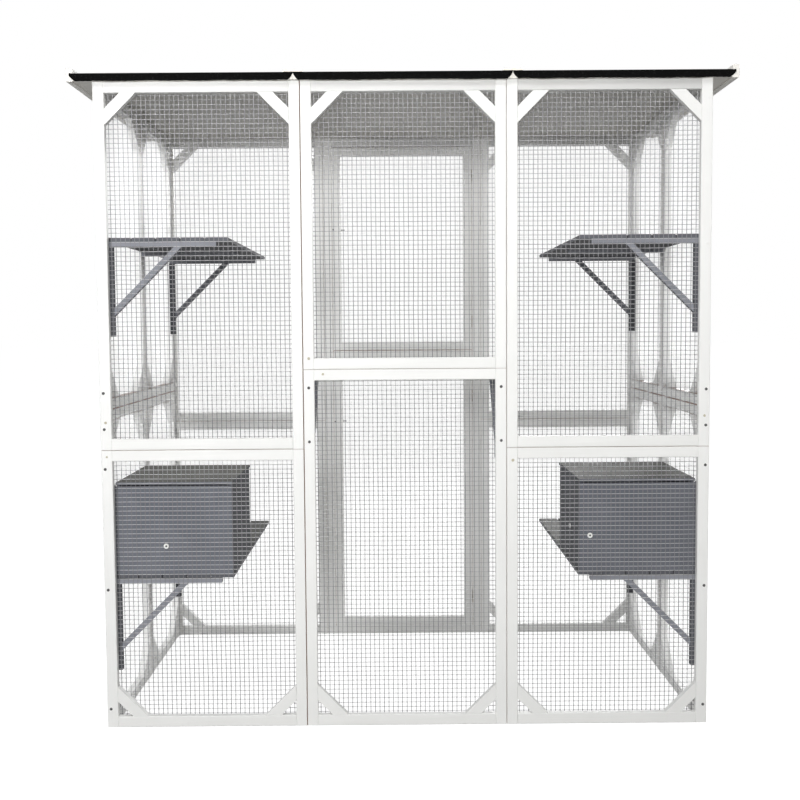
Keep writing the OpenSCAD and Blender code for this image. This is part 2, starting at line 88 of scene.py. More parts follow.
class Nodes:
    """Short calls for building a material's node tree."""

    def __init__(self, name):
        self.mat = bpy.data.materials.new(name)
        self.mat.use_nodes = True
        self.tree = self.mat.node_tree
        self.bsdf = self.tree.nodes["Principled BSDF"]

    def new(self, kind, **props):
        node = self.tree.nodes.new(kind)
        for key, value in props.items():
            setattr(node, key, value)
        return node

    def link(self, out, inp):
        self.tree.links.new(out, inp)

    def feed(self, inp, value):
        if hasattr(value, "links"):
            self.link(value, inp)
        else:
            inp.default_value = value

    def shader(self, name, value):
        """Sets or links an input of the shader."""
        self.feed(self.bsdf.inputs[name], value)

    def math(self, op, a, b=0.0, c=0.0):
        node = self.new("ShaderNodeMath", operation=op)
        for inp, value in zip(node.inputs, (a, b, c)):
            self.feed(inp, value)
        return node.outputs[0]

    def product(self, first, *factors):
        for factor in factors:
            first = self.math("MULTIPLY", first, factor)
        return first

    def over(self, value, limit):
        return self.math("GREATER_THAN", value, limit)

    def between(self, value, low, high):
        """1 where a length lies between two sizes in millimetres."""
        return self.product(self.over(value, low * MM), self.math("LESS_THAN", value, high * MM))

    def size(self, value):
        return self.math("ABSOLUTE", value)

    def position(self):
        return self.new("ShaderNodeTexCoord").outputs["Object"]

    def normal(self):
        return self.new("ShaderNodeNewGeometry").outputs["Normal"]

    def island(self):
        return self.new("ShaderNodeNewGeometry").outputs["Random Per Island"]

    def split(self, vector):
        """The three parts of a vector or colour."""
        node = self.new("ShaderNodeSeparateXYZ")
        self.link(vector, node.inputs[0])
        return list(node.outputs)

    def scaled(self, vector, scale):
        node = self.new("ShaderNodeMapping")
        self.link(vector, node.inputs["Vector"])
        node.inputs["Scale"].default_value = scale
        return node.outputs[0]

    def noise(self, vector, scale, detail=3.0, rough=0.5):
        node = self.new("ShaderNodeTexNoise")
        self.link(vector, node.inputs["Vector"])
        node.inputs["Scale"].default_value = scale
        node.inputs["Detail"].default_value = detail
        node.inputs["Roughness"].default_value = rough
        return node.outputs["Fac"]

    def mix(self, fac, a, b):
        node = self.new("ShaderNodeMix", data_type="RGBA")
        self.feed(node.inputs[0], fac)
        self.feed(node.inputs[6], a)
        self.feed(node.inputs[7], b)
        return node.outputs[2]

    def mix_value(self, fac, a, b):
        node = self.new("ShaderNodeMix", data_type="FLOAT")
        self.feed(node.inputs[0], fac)
        self.feed(node.inputs[2], a)
        self.feed(node.inputs[3], b)
        return node.outputs[0]

    def ramp(self, fac, *stops):
        node = self.new("ShaderNodeValToRGB")
        self.link(fac, node.inputs[0])
        ramp = node.color_ramp
        while len(ramp.elements) < len(stops):
            ramp.elements.new(0.5)
        for element, (place, colour) in zip(ramp.elements, stops):
            element.position = place
            element.color = colour
        return node.outputs[0]

    def bump(self, height, distance, strength):
        node = self.new("ShaderNodeBump")
        node.inputs["Strength"].default_value = strength
        node.inputs["Distance"].default_value = distance
        self.link(height, node.inputs["Height"])
        self.shader("Normal", node.outputs[0])


# Paint

X, Y, Z = 0, 1, 2
NEAR, FAR = -1, 1

# A joint or gap with grime and painted shade: the eased edges within reach of place on an axis. span is
# (axis, low, high) and keeps it to the stretch between two distances from zero on another axis. wall keeps
# it to one long wall.
Seam = namedtuple("Seam", "strength axis place reach span wall", defaults=(None, None))


class Paint(Nodes):
    """Painted softwood with its grain along each timber. run is the axis of the rails, and stiles are the
    spans of |run| where the timbers stand upright. The other calls change the colour in turn, most of them
    with painted shade, and material() comes last."""

    GRAIN_ACROSS, GRAIN_ALONG = 420.0, 9.0
    FACING = 0.6

    def __init__(self, name, light, dark, run, stiles=(), roughness=0.5, gloss=0.35):
        super().__init__(name)
        self.run = run
        self.roughness = roughness
        self.shader("Specular IOR Level", gloss)
        self.at = self.position()
        self.axes = self.split(self.at)
        self.facing = self.split(self.normal())
        self.from_middle = self.size(self.axes[run])
        self.grain = self.grain_of(stiles)
        self.blotch = self.noise(self.at, 9.0, 4.0, 0.6)
        tone = self.math("MULTIPLY_ADD", self.blotch, 0.9, -0.1)
        tone = self.math("ADD", tone, self.math("MULTIPLY_ADD", self.island(), 0.35, -0.18))
        self.tone = self.math("ADD", tone, self.math("MULTIPLY_ADD", self.grain, 0.5, -0.25))
        self.colour = self.mix(self.tone, dark, light)

    def grain_of(self, stiles):
        def streaks(axis):
            scale = [self.GRAIN_ACROSS] * 3
            scale[axis] = self.GRAIN_ALONG
            return self.noise(self.scaled(self.at, scale), 1.0, 4.0, 0.6)

        upright = None
        for low, high in stiles:
            inside = self.between(self.from_middle, low, high)
            upright = inside if upright is None else self.math("MAXIMUM", upright, inside)
        lying = streaks(self.run)
        return lying if upright is None else self.mix_value(upright, lying, streaks(Z))

    def height(self):
        """0 on the ground to 1 at the roof."""
        return self.math("MINIMUM", self.math("DIVIDE", self.axes[Z], BODY_H * MM), 1.0)

    def rightwards(self):
        """0 at the left end of the long walls to 1 at the right end."""
        return self.math("MULTIPLY_ADD", self.axes[X], 1.0 / (BODY_W * MM), 0.5)

    def shade(self, amount):
        self.colour = self.mix(amount, self.colour, BLACK)
        return self

    def paint_shade_to_foot(self, brightness):
        """Painted shade: darker towards the ground, down to a brightness."""
        return self.shade(self.math("MULTIPLY_ADD", self.height(), brightness - 1.0, 1.0 - brightness))

    def paint_eaves_shade(self, slope, start):
        """Painted shade of the eaves on the rails, more towards the right, but not on the stiles beside them.
        """
        ease = 0.2
        off_column = self.size(self.math("SUBTRACT", self.from_middle, COLUMN_X * MM))
        stile = self.math("LESS_THAN", off_column, (TIMBER_W + ease) * MM)
        stile = self.math("MAXIMUM", stile, self.over(self.from_middle, OUTER_STILE * MM))
        high_up = self.over(self.axes[Z], (BODY_H - TIMBER_W) * MM)
        rail = self.product(high_up, self.math("SUBTRACT", 1.0, stile))
        return self.shade(self.product(rail, self.math("MULTIPLY_ADD", self.rightwards(), slope, start)))

    def paint_far_wall_shade(self, high, low_gain):
        """Painted shade on the inner side of the far wall at its right end, more towards the ground."""
        inner = self.product(self.over(self.axes[Y], 0.0), self.math("LESS_THAN", self.facing[Y], 0.5))
        depth = self.math("MULTIPLY_ADD", self.math("SUBTRACT", 1.0, self.height()), low_gain, high)
        return self.shade(self.product(inner, self.rightwards(), depth))

    def paint_underside_shade(self, brightness):
        # Painted shade on the faces that look down
        looks_down = self.math("LESS_THAN", self.facing[Z], -self.FACING)
        return self.shade(self.product(looks_down, 1.0 - brightness))

    def end_colours(self, below, above):
        """Colours the end faces, below and above the felt."""
        end_face = self.over(self.size(self.facing[self.run]), 0.8)
        above_felt = self.over(self.axes[Z], (BODY_H + ROOF_T + 0.5) * MM)
        self.colour = self.mix(end_face, self.colour, self.mix(above_felt, below, above))
        return self

    def paint_top_and_side_shade(self, light, dark, right=0.0, right_top_shade=0.0):
        """Painted shade: darker top faces, sides turned towards olive, and the timber on the right darker,
        its top most of all."""
        looks_up = self.over(self.facing[Z], self.FACING)
        self.colour = self.mix(looks_up, self.colour, self.mix(self.tone, dark, light))
        sideways = self.over(self.size(self.facing[X]), self.FACING)
        self.colour = self.mix(self.product(sideways, 0.54), self.colour, PAINTED_SIDE_SHADE)
        amount = self.math("MULTIPLY_ADD", looks_up, right_top_shade, right)
        return self.shade(self.product(self.over(self.axes[X], 0.0), amount))

    def paint_slat_end_shade(self, bands):
        """Painted shade on the end faces at some heights."""
        end_face = self.over(self.size(self.facing[Y]), self.FACING)
        for low, high in bands:
            self.shade(self.product(end_face, self.between(self.axes[Z], low, high), 0.5))
        return self

    def paint_side_wall_and_far_shade(self, start, brightness, far_brightness):
        """Painted shade on what lies against the side walls, and on everything in the far half."""
        beside = self.over(self.size(self.axes[X]), start * MM)
        self.shade(self.product(beside, 1.0 - brightness))
        return self.shade(self.product(self.over(self.axes[Y], 0.0), 1.0 - far_brightness))

    def paint_grime_and_gap_shade(self, seams):
        """Patchy grime and painted shade on the joints and the walls of the gaps."""
        total = None
        for seam in seams:
            off = self.size(self.math("SUBTRACT", self.axes[seam.axis], seam.place * MM))
            mark = self.product(self.math("LESS_THAN", off, seam.reach * MM), seam.strength)
            if seam.span:
                axis, low, high = seam.span
                mark = self.product(mark, self.between(self.size(self.axes[axis]), low, high))
            if seam.wall:
                mark = self.product(mark, self.over(self.product(self.axes[Y], seam.wall), 0.0))
            total = mark if total is None else self.math("MAXIMUM", total, mark)
        patchy = self.math("MULTIPLY_ADD", self.noise(self.at, 22.0), 0.7, 0.5)
        self.colour = self.mix(self.math("MINIMUM", self.product(total, patchy), 1.0), self.colour, GRIME_AND_SHADE)
        return self

    def material(self):
        self.shader("Base Color", self.colour)
        self.shader("Roughness", self.math("MULTIPLY_ADD", self.blotch, 0.16, self.roughness - 0.08))
        relief = self.math("ADD", self.grain, self.product(self.noise(self.at, 60.0, 2.0), 0.6))
        self.bump(relief, 0.00022, 0.55)
        return self.mat


WHITE = srgb(250, 250, 249), srgb(240, 240, 238)
ROOF_WHITE = srgb(246, 243, 237), srgb(232, 228, 220)
TRIM_WHITE = srgb(252, 250, 246), srgb(242, 239, 233)
STRIP_END, STRIP_TOP = srgb(206, 197, 185), srgb(250, 244, 234)
SLATE = srgb(159, 161, 168), srgb(132, 134, 141)
# Painted shade: darker colours for the tops of the shelves
SLATE_TOP_SHADE = srgb(110, 111, 108), srgb(90, 91, 87)
BOX_SLATE = srgb(128, 131, 139), srgb(99, 102, 109)
# Painted shade: darker colours for the tops of the boxes
BOX_TOP_SHADE = srgb(122, 123, 118), srgb(96, 97, 93)
# Painted shade on the sides of shelves and boxes
PAINTED_SIDE_SHADE = srgb(30, 31, 26)
# Grime, also used as painted shade in the gaps
GRIME_AND_SHADE = srgb(140, 110, 94)

WALL_STILES = [(DOOR_GAP_X - TIMBER_W - 0.4, COLUMN_X + TIMBER_W), (OUTER_STILE, BODY_W / 2)]
SIDE_STILES = [(0.0, TIMBER_W), (SIDE_END - TIMBER_W, SIDE_END)]
BESIDE_DOORS = (Z, 28, 1742)
ACROSS_DOOR = (X, 0, 248)
BESIDE_STILES = (Y, TIMBER_W, SIDE_END - TIMBER_W)
HINGE_HALF = 20
WALL_SEAMS = [
    Seam(1.5, X, -COLUMN_X, 1.2, wall=NEAR),
    Seam(0.45, X, COLUMN_X, 1.15, wall=NEAR),
    Seam(0.3, X, -COLUMN_X, 1.0, wall=FAR),
    Seam(0.3, X, COLUMN_X, 1.0, wall=FAR),
    Seam(0.6, Z, OUTER_SPLIT, 1.0, span=(X, COLUMN_X, BODY_W / 2 + 6)),
    Seam(0.4, Z, MIDDLE_SPLIT, 1.0, span=(X, 0, COLUMN_X)),
    Seam(0.55, X, -DOOR_GAP_X, 1.3, span=BESIDE_DOORS, wall=FAR),
    Seam(0.55, X, DOOR_GAP_X, 1.3, span=BESIDE_DOORS, wall=FAR),
    Seam(0.7, Z, UPPER_DOOR_FOOT, 1.9, span=ACROSS_DOOR, wall=FAR),
    Seam(0.7, Z, LOWER_DOOR_TOP, 2.0, span=ACROSS_DOOR, wall=FAR),
    Seam(0.35, Z, UPPER_DOOR_TOP, 2.0, span=ACROSS_DOOR, wall=FAR),
]
for z in HINGE_ROWS:
    WALL_SEAMS.append(Seam(0.75, X, DOOR_GAP_X, 2.0, span=(Z, z - HINGE_HALF, z + HINGE_HALF), wall=FAR))
SIDE_SEAMS = [
    Seam(1.0, Y, 0.0, 1.6),
    Seam(1.4, Z, SIDE_SPLIT, 2.2),
    Seam(1.0, Z, SIDE_SPLIT + TIMBER_W + 0.1, 1.4, span=BESIDE_STILES),
    Seam(1.0, Z, SIDE_SPLIT - TIMBER_W - 0.1, 1.4, span=BESIDE_STILES),
]

# Most calls after each Paint() below put painted shade into the colour
white_x = (Paint("white_paint_long_walls", *WHITE, X, WALL_STILES, 0.42)
           .paint_shade_to_foot(0.96).paint_eaves_shade(0.34, -0.03).paint_far_wall_shade(0.03, 0.25).paint_grime_and_gap_shade(WALL_SEAMS).material())
white_y = (Paint("white_paint_side_walls", *WHITE, Y, SIDE_STILES, 0.42)
           .paint_shade_to_foot(0.96).paint_grime_and_gap_shade(SIDE_SEAMS).material())
white_roof = Paint("white_paint_roof", *ROOF_WHITE, Y).paint_underside_shade(0.82).material()
white_trim = Paint("white_paint_trims", *TRIM_WHITE, Y).material()
white_strip = Paint("white_paint_cover_strips", *ROOF_WHITE, Y).end_colours(STRIP_END, STRIP_TOP).material()
slate_y = (Paint("slate_paint_side_shelves", *SLATE, Y, roughness=0.66, gloss=0.12)
           .paint_underside_shade(0.12).paint_top_and_side_shade(*SLATE_TOP_SHADE).paint_slat_end_shade((LOW_SLATS, HIGH_SLATS)).material())
slate_bracket = (Paint("slate_paint_brackets", *SLATE, Z, roughness=0.66, gloss=0.1)
                 .paint_underside_shade(0.3).paint_side_wall_and_far_shade(BODY_W / 2 - TIMBER_T - 21.0, 0.45, 0.5).material())
slate_box = (Paint("slate_paint_hideaways", *BOX_SLATE, Y, roughness=0.66, gloss=0.1)
             .paint_underside_shade(0.5).paint_top_and_side_shade(*BOX_TOP_SHADE, right=0.16, right_top_shade=0.27).material())
slate_x = (Paint("slate_paint_centre_shelf", *SLATE, X, roughness=0.66, gloss=0.12)
           .paint_underside_shade(0.3).material())


# Felt, metal and plastic

def felt_material():
    """Mineral felt: dark grit, paler on the faces that look up."""
    n = Nodes("mineral_felt")
    pos = n.position()
    grit = n.new("ShaderNodeTexVoronoi")
    n.link(pos, grit.inputs["Vector"])
    grit.inputs["Scale"].default_value = 700.0
    grain = n.split(grit.outputs["Color"])[0]
    blotch = n.noise(pos, 14.0, 5.0, 0.65)
    dark = n.ramp(grain, (0.0, grey(0.001)), (0.72, grey(0.002)), (0.93, grey(0.005)), (1.0, grey(0.03)))
    up_facing_grit = n.ramp(grain, (0.0, grey(0.006)), (0.6, grey(0.010)), (0.9, grey(0.022)), (1.0, grey(0.09)))
    looks_up = n.over(n.split(n.normal())[Z], 0.5)
    n.shader("Base Color", n.mix(n.product(blotch, 0.35), n.mix(looks_up, dark, up_facing_grit), grey(0.003)))
    n.shader("Roughness", 0.92)
    n.shader("Specular IOR Level", 0.08)
    n.bump(n.math("ADD", grit.outputs["Distance"], n.product(blotch, 0.8)), 0.0006, 0.8)
    return n.mat


def metal(name, dark, light, roughness, metallic):
    """Plated steel with a faint spangle."""
    n = Nodes(name)
    spangle = n.noise(n.position(), 180.0, 3.0, 0.6)
    n.shader("Base Color", n.mix(spangle, dark, light))
    n.shader("Metallic", metallic)
    n.shader("Roughness", n.math("MULTIPLY_ADD", spangle, 0.2, roughness - 0.1))
    n.bump(spangle, 0.00008, 0.5)
    return n.mat


def wire_material(name, dark, light, top, metallic, tint=(1.0, 1.0, 1.0), shaded_foot=1.0):
    """Galvanised wire, with a painted highlight where it faces up and painted shade lower down. The last
    argument is the brightness that the painted shade leaves lower down."""
    fade_from, fade_to = 1.2, 1.6
    n = Nodes(name)
    pos = n.position()
    spangle = n.noise(pos, 160.0, 3.0, 0.6)
    painted_top_light = n.product(n.math("MAXIMUM", n.split(n.normal())[Z], 0.0), 1.3)
    painted_top_light = n.math("MINIMUM", painted_top_light, 1.0)
    body = n.mix(spangle, [dark * c for c in tint] + [1], [light * c for c in tint] + [1])
    if shaded_foot < 1.0:
        rise = n.new("ShaderNodeMapRange", interpolation_type="SMOOTHSTEP")
        n.link(n.split(pos)[Z], rise.inputs["Value"])
        rise.inputs["From Min"].default_value = fade_from
        rise.inputs["From Max"].default_value = fade_to
        rise.inputs["To Min"].default_value = 1.0 - shaded_foot
        rise.inputs["To Max"].default_value = 0.0
        body = n.mix(rise.outputs["Result"], body, BLACK)
    n.shader("Base Color", n.mix(painted_top_light, body, grey(top)))
    n.shader("Metallic", metallic)
    n.shader("Roughness", n.math("MULTIPLY_ADD", spangle, 0.2, 0.3))
    n.bump(spangle, 0.00005, 0.5)
    return n.mat


def plain_plastic(name, colour, roughness):
    """Moulded plastic or dried filler, a little uneven in tone."""
    n = Nodes(name)
    pos = n.position()
    darker = [c * 0.94 for c in colour[:3]] + [1]
    n.shader("Base Color", n.mix(n.noise(pos, 40.0), darker, colour))
    n.shader("Roughness", roughness)
    n.bump(n.noise(pos, 900.0, 2.0), 0.00006, 0.4)
    return n.mat


felt = felt_material()
# The near wire is a darker copy of the same wire, as painted shade
wire_near_shaded = wire_material("galvanised_wire_near", 0.30, 0.43, 0.85, 0.0, (1.0, 0.985, 1.05), 0.55)
wire_rest = wire_material("galvanised_wire_rest", 0.80, 0.92, 0.92, 1.0)
zinc = metal("zinc_plate", grey(0.34), grey(0.55), 0.38, 0.9)
screw_steel = metal("screw_steel", grey(0.05), grey(0.11), 0.5, 0.6)
cup_white = plain_plastic("cup_plastic", srgb(246, 246, 243), 0.4)
filler = plain_plastic("wood_filler", srgb(200, 193, 172), 0.8)

# The longest key that starts a node's name gives its material, and the fittings are zinc
NODE_MATERIALS = {
    "near_": white_x, "far_": white_x, "upper_door_": white_x, "lower_door_": white_x,
    "left_": white_y, "right_": white_y,
    "roof_board": white_roof, "roof_trim": white_trim, "roof_cover": white_strip,
    "shelf_": slate_y, "upper_shelf": slate_bracket, "lower_shelf": slate_bracket,
    "shelf_centre": slate_x, "centre_shelf": slate_x, "hideaway": slate_box,
    "upper_door_hinge": zinc, "lower_door_hinge": zinc,
}
for name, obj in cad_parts.items():
    best = max((key for key in NODE_MATERIALS if name.startswith(key)), key=len, default=None)
    obj.data.materials.clear()
    obj.data.materials.append(NODE_MATERIALS.get(best, zinc))


# Mesh helpers

class Shape:
    """Points in millimetres and the faces between them."""

    def __init__(self):
        self.verts, self.faces = [], []

    def add_rings(self, rings):
        """Adds rings of points and returns the number of the first point."""
        base = len(self.verts)
        for ring in rings:
            self.verts += ring
        return base

    def tube(self, rings):
        """Closed form through rings of points."""
        base, count, last = self.add_rings(rings), len(rings[0]), len(rings) - 1
        for i in range(last):
            for k in range(count):
                a = base + i * count + k
                b = base + i * count + (k + 1) % count
                self.faces.append((a, b, b + count, a + count))
        self.faces.append(tuple(base + k for k in reversed(range(count))))
        self.faces.append(tuple(base + last * count + k for k in range(count)))

    def dome(self, middle, rings):
        """Closed form from a middle point outwards through rings, with a flat back."""
        centre = len(self.verts)
        self.verts.append(middle)
        base, count, last = self.add_rings(rings), len(rings[0]), len(rings) - 1
        for k in range(count):
            self.faces.append((centre, base + k, base + (k + 1) % count))
        for i in range(last):
            for k in range(count):
                a = base + i * count + k
                b = base + i * count + (k + 1) % count
                self.faces.append((a, a + count, b + count, b))
        self.faces.append(tuple(base + last * count + k for k in reversed(range(count))))


def add_object(name, shape, material, body, smooth=False):
    """Object of the row frame, riding on a body."""
    mesh = bpy.data.meshes.new(name)
    mesh.from_pydata([(x * MM, y * MM, z * MM) for x, y, z in shape.verts], [], shape.faces)
    mesh.validate()
    if smooth:
        mesh.shade_smooth()
    mesh.materials.append(material)
    obj = bpy.data.objects.new(name, mesh)
    bpy.context.scene.collection.objects.link(obj)
    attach(obj, body)
    return obj


def on_wall(wall, u, v, z):
    """Row point for u along a wall, v inwards from its outer face, and height z."""
    if wall == "near":
        return (u, NEAR_Y + v, z)
    if wall == "far":
        return (u, FAR_Y - v, z)
    if wall == "left":
        return (-BODY_W / 2 + v, u, z)
    return (BODY_W / 2 - v, u, z)


def panel_of(node):
    """(start along the wall, foot, width, height) of a framed panel."""
    low, high = (Vector(corner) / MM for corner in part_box(node))
    axis = X if high.x - low.x > high.y - low.y else Y
    return (low[axis], low.z, high[axis] - low[axis], high.z - low.z)


def wall_panels(wall):
    names = sorted(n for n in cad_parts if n.startswith(wall + "_") and n.endswith("_frame"))
    return [panel_of(n) for n in names]


UPPER_DOOR = [panel_of("upper_door_frame")]
LOWER_DOOR = [panel_of("lower_door_frame")]


# Welded mesh

Wire = namedtuple("Wire", "radius upright_depth cross_depth")
NEAR_WIRE = Wire(0.93, 0.62, 1.24)
FINE_WIRE = Wire(0.45, 0.45, 1.10)


def uneven_sheet(wall, u0, z0, width, height, seed):
    """Function that places the points of a net, a little off true and slack in its middle."""
    broad, fine = 0.006, 0.03
    broad_reach, fine_reach = 0.9, 0.3
    local = random.Random(seed)
    shift = Vector((local.uniform(0, 50), local.uniform(0, 50), seed))
    slack = local.uniform(0.6, 1.6)

    def place(u, z, depth):
        wander = noise.noise_vector(Vector((u * broad, z * broad, 0)) + shift)
        tremor = noise.noise_vector(Vector((u * fine, z * fine, 0)) + shift)
        inward_u = math.sin(math.pi * min(1, max(0, (u - u0) / width)))
        inward_z = math.sin(math.pi * min(1, max(0, (z - z0) / height)))
        loose = min(1.0, 3 * inward_u, 3 * inward_z)
        du = loose * (broad_reach * wander.x + fine_reach * tremor.x)
        dz = loose * (broad_reach * wander.y + fine_reach * tremor.y)
        dv = -slack * (inward_u * inward_z) ** 2 * (1 + wander.z)
        return on_wall(wall, u + du, TIMBER_T + depth + dv, z + dz)

    return place


def strand(shape, path, radius, across, deep):
    """Wire of five sides along a path, with the two axes square to it."""
    sides = 5
    rings = []
    for p in path:
        ring = []
        for k in range(sides):
            angle = 2 * math.pi * k / sides
            a, b = math.cos(angle) * radius, math.sin(angle) * radius
            ring.append(tuple(p[i] + a * across[i] + b * deep[i] for i in range(3)))
        rings.append(ring)
    shape.tube(rings)


def weave(shape, wall, panel, seed, wire):
    """Adds the wires of one panel: uprights outside, cross wires welded on behind them."""
    bend = 50
    inset = TIMBER_W - NET_LAP
    u0, z0, w, h = panel
    u0, z0, w, h = u0 + inset, z0 + inset, w - 2 * inset, h - 2 * inset
    place = uneven_sheet(wall, u0, z0, w, h, seed)
    long_wall = wall in ("near", "far")
    deep = (0, 1, 0) if long_wall else (1, 0, 0)
    along = (1, 0, 0) if long_wall else (0, 1, 0)
    columns, rows = round(w / MESH_PITCH), round(h / MESH_PITCH)
    start_u = u0 + (w - columns * MESH_PITCH) / 2
    start_z = z0 + (h - rows * MESH_PITCH) / 2
    steps_z, steps_u = max(4, round(h / bend)), max(4, round(w / bend))
    for i in range(columns + 1):
        u = start_u + i * MESH_PITCH
        path = [place(u, z0 + h * k / steps_z, wire.upright_depth) for k in range(steps_z + 1)]
        strand(shape, path, wire.radius, along, deep)
    for j in range(rows + 1):
        z = start_z + j * MESH_PITCH
        path = [place(u0 + w * k / steps_u, z, wire.cross_depth) for k in range(steps_u + 1)]
        strand(shape, path, wire.radius, (0, 0, 1), deep)


def make_net(name, wall, panels, body, node, seed, wire=FINE_WIRE, material=wire_rest):
    shape = Shape()
    for k, panel in enumerate(panels):
        weave(shape, wall, panel, seed + k, wire)
    obj = add_object(name, shape, material, body, smooth=True)
    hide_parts(node)
    return obj


# The near wires are thick, to look as strong as in the photograph, so their shadows would be too heavy
near_net = make_net("near_wire_mesh", "near", wall_panels("near"), "enclosure", "near_nets", 11, NEAR_WIRE,
                    wire_near_shaded)
near_net.visible_shadow = False
make_net("far_wire_mesh", "far", wall_panels("far"), "enclosure", "far_nets", 31)
make_net("left_wire_mesh", "left", wall_panels("left"), "enclosure", "left_nets", 51)
make_net("right_wire_mesh", "right", wall_panels("right"), "enclosure", "right_nets", 71)
make_net("upper_door_wire_mesh", "far", UPPER_DOOR, "upper_door", "upper_door_net", 91)
make_net("lower_door_wire_mesh", "far", LOWER_DOOR, "lower_door", "lower_door_net", 97)


# Staples

STAPLE_HALF, STAPLE_WIRE, STAPLE_RISE, STAPLE_TURN = 5.0, 0.45, 1.9, 1.1
STAPLE_PITCH = 5 * MESH_PITCH
STAPLE_STRAY = 2


def staple(shape, wall, u, z, lying):
    """Crown along the timber over a wire, with two short legs into the wood."""
    half, rise, turn = STAPLE_HALF, STAPLE_RISE, STAPLE_TURN
    outline = [(-half, 0.0), (-half, rise - turn), (-half + turn, rise),
               (half - turn, rise), (half, rise - turn), (half, 0.0)]
    base = len(shape.verts)
    for along, lift in outline:
        for side in (-STAPLE_WIRE, STAPLE_WIRE):
            for scale in (1.0, 1 - STAPLE_WIRE * 2 / half):
                depth = TIMBER_T + max(0.0, lift - (1 - scale) * half * 0.5)
                du, dz = (along * scale, side) if lying else (side, along * scale)
                shape.verts.append(on_wall(wall, u + du, depth, z + dz))
    for k in range(len(outline) - 1):
        a, b = base + 4 * k, base + 4 * k + 4
        for i, j in ((0, 1), (1, 3), (3, 2), (2, 0)):
            shape.faces.append((a + i, a + j, b + j, b + i))
    last = base + 4 * (len(outline) - 1)
    shape.faces.append((base, base + 2, base + 3, base + 1))
    shape.faces.append((last, last + 1, last + 3, last + 2))


def staple_places(start, length):
    """Evenly spaced places, centred on one side of a panel."""
    count = int((length - 2 * TIMBER_W) / STAPLE_PITCH)
    return [start + length / 2 + (k - (count + 1) / 2) * STAPLE_PITCH for k in range(1, count + 1)]


def make_staples(name, groups, body):
    """A staple over every fifth wire along the edges of the nets."""
    shape = Shape()
    off = TIMBER_W - NET_LAP / 2
    for wall, panels in groups:
        for u0, z0, w, h in panels:
            for u in staple_places(u0, w):
                for z in (z0 + off, z0 + h - off):
                    staple(shape, wall, u + rng.uniform(-STAPLE_STRAY, STAPLE_STRAY), z, True)
            for z in staple_places(z0, h):
                for u in (u0 + off, u0 + w - off):
                    staple(shape, wall, u, z + rng.uniform(-STAPLE_STRAY, STAPLE_STRAY), False)
    return add_object(name, shape, zinc, body)


WALL_NETS = [(wall, wall_panels(wall)) for wall in ("near", "far", "left", "right")]
make_staples("net_staples", WALL_NETS, "enclosure")
make_staples("upper_door_staples", [("far", UPPER_DOOR)], "upper_door")
make_staples("lower_door_staples", [("far", LOWER_DOOR)], "lower_door")


# Roofing felt

FELT_T, FELT_FLAP, FELT_TIP, FELT_GAP = 1.8, 21.0, 9.0, 0.2
FOLD_R, FOLD_STEPS = 2.2, 4
HEM_ROWS, FELT_ROWS, FELT_COLUMNS = 10, 40, 150


def corner_cut(drop, tip):
    """How far a flap's end has drawn in at a drop from 0 at the fold to 1 at the hem."""
    if tip > 0:
        return 16.0 * max(0.0, (drop - 0.35) / 0.65) ** 1.2
    return 14.0 * drop ** 1.8


def felt_profile(top):
    """(y, z, hang) from hem to hem over the roof, where hang is 1 at a hem and 0 from its fold on."""
    flap = []
    for k in range(HEM_ROWS + 1):
        part = k / HEM_ROWS
        flap.append((-ROOF_END, top - FELT_FLAP + (FELT_FLAP - FOLD_R) * part, 1 - part))
    for k in range(1, FOLD_STEPS):
        a = math.pi / 2 * k / FOLD_STEPS
        flap.append((-ROOF_END + FOLD_R * (1 - math.cos(a)), top - FOLD_R * (1 - math.sin(a)), 0))
    flat = 2 * ROOF_END - 2 * FOLD_R
    lying = [(-ROOF_END + FOLD_R + flat * k / FELT_ROWS, top, 0) for k in range(FELT_ROWS + 1)]
    return flap + lying + [(-y, z, hang) for y, z, hang in reversed(flap)]


def make_felt(index, name, node):
    """Sheet laid over one board, turned down over both ends and cut a little unevenly."""
    x0, x1 = (index - 0.5) * ROOF_PANEL, (index + 0.5) * ROOF_PANEL
    left_tip = FELT_TIP if index == -1 else -FELT_GAP
    right_tip = FELT_TIP if index == 1 else -FELT_GAP
    top = BODY_H + ROOF_T
    profile = felt_profile(top)

    outer, inner = [], []
    for y, z, hang in profile:
        side = -1 if y < 0 else 1
        turned_down = z < top - 0.1
        left, right = x0 + FELT_GAP, x1 - FELT_GAP
        if turned_down:
            drop = (top - z) / FELT_FLAP
            left = x0 - left_tip + corner_cut(drop, left_tip)
            right = x1 + right_tip - corner_cut(drop, right_tip)
        for c in range(FELT_COLUMNS + 1):
            x = left + (right - left) * c / FELT_COLUMNS
            if turned_down:
                wave = noise.noise(Vector((x * 0.02, side * 3.0, 1.3)))
                nick = noise.noise(Vector((x * 0.16, side * 5.0, 7.7)))
                uneven = z + hang * (1.1 * wave + 0.7 * nick)
                outer.append((x, y, uneven))
                inner.append((x, y - side * FELT_T, uneven))
            else:
                ripple = noise.noise(Vector((x * 0.012, y * 0.012, 4.0)))
                outer.append((x, y, z + 0.25 * ripple))
                inner.append((x, y, z - FELT_T))

    shape = Shape()
    shape.verts = outer + inner
    width, count, last = FELT_COLUMNS + 1, len(outer), len(profile) - 1
    for r in range(last):
        for c in range(FELT_COLUMNS):
            a = r * width + c
            b = a + count
            shape.faces.append((a, a + 1, a + width + 1, a + width))
            shape.faces.append((b, b + width, b + width + 1, b + 1))
    for r in range(last):
        a, b = r * width, (r + 1) * width
        shape.faces.append((a, b, b + count, a + count))
        a, b = a + FELT_COLUMNS, b + FELT_COLUMNS
        shape.faces.append((b, a, a + count, b + count))
    for c in range(FELT_COLUMNS):
        shape.faces.append((c + 1, c, c + count, c + 1 + count))
        a = last * width + c
        shape.faces.append((a, a + 1, a + 1 + count, a + count))
    obj = add_object(name, shape, felt, "enclosure")
    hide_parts(node)


for index, side in ((-1, "left"), (0, "middle"), (1, "right")):
    make_felt(index, "felt_sheet_" + side, "roof_felt_" + side)


# Screws

